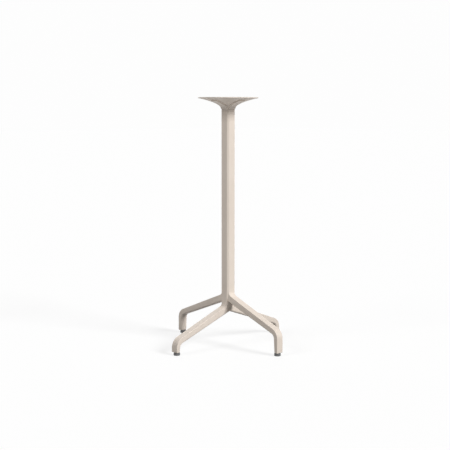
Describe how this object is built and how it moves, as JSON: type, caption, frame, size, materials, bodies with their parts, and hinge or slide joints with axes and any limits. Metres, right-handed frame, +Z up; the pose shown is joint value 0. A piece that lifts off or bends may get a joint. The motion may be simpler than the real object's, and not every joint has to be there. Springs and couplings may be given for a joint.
{
  "type": "high table base",
  "caption": "Bar-height pedestal table base: square column with a bell flange on top and a cast foot of crossed sloping legs with levelling glides.",
  "frame": {"origin": "on the floor under the column's axis, where the four glides stand", "axes": "+Z up the column to the table top, X along the upper pair of legs, Y along the lower pair; -Y is the front left leg"},
  "size_m": [0.638, 0.638, 1.1],
  "materials": {
    "powder_coated_metal": "matt fine-textured powder coat, warm sand",
    "zinc_plated_steel": "bright zinc plate",
    "grey_nylon": "moulded, matt dark grey"
  },
  "bodies": {
    "base": {"base_casting": "powder_coated_metal", "column_tube": "powder_coated_metal", "flange_casting": "powder_coated_metal", "tie_rod": "zinc_plated_steel", "tie_rod_nut_top": "zinc_plated_steel", "tie_rod_lock_washer_top": "zinc_plated_steel", "tie_rod_washer_top": "zinc_plated_steel", "tie_rod_washer_bottom": "zinc_plated_steel", "tie_rod_lock_washer_bottom": "zinc_plated_steel", "tie_rod_nut_bottom": "zinc_plated_steel"},
    "glide_front_right": {"glide_pad_front_right": "grey_nylon", "glide_stud_front_right": "zinc_plated_steel"},
    "glide_back_right": {"glide_pad_back_right": "grey_nylon", "glide_stud_back_right": "zinc_plated_steel"},
    "glide_back_left": {"glide_pad_back_left": "grey_nylon", "glide_stud_back_left": "zinc_plated_steel"},
    "glide_front_left": {"glide_pad_front_left": "grey_nylon", "glide_stud_front_left": "zinc_plated_steel"}
  },
  "joints": [
    {"name": "glide_front_right_height", "type": "slide", "parent": "base", "child": "glide_front_right", "axis": [0, 0, -1], "range_m": [0, 0.012]},
    {"name": "glide_back_right_height", "type": "slide", "parent": "base", "child": "glide_back_right", "axis": [0, 0, -1], "range_m": [0, 0.012]},
    {"name": "glide_back_left_height", "type": "slide", "parent": "base", "child": "glide_back_left", "axis": [0, 0, -1], "range_m": [0, 0.012]},
    {"name": "glide_front_left_height", "type": "slide", "parent": "base", "child": "glide_front_left", "axis": [0, 0, -1], "range_m": [0, 0.012]}
  ]
}
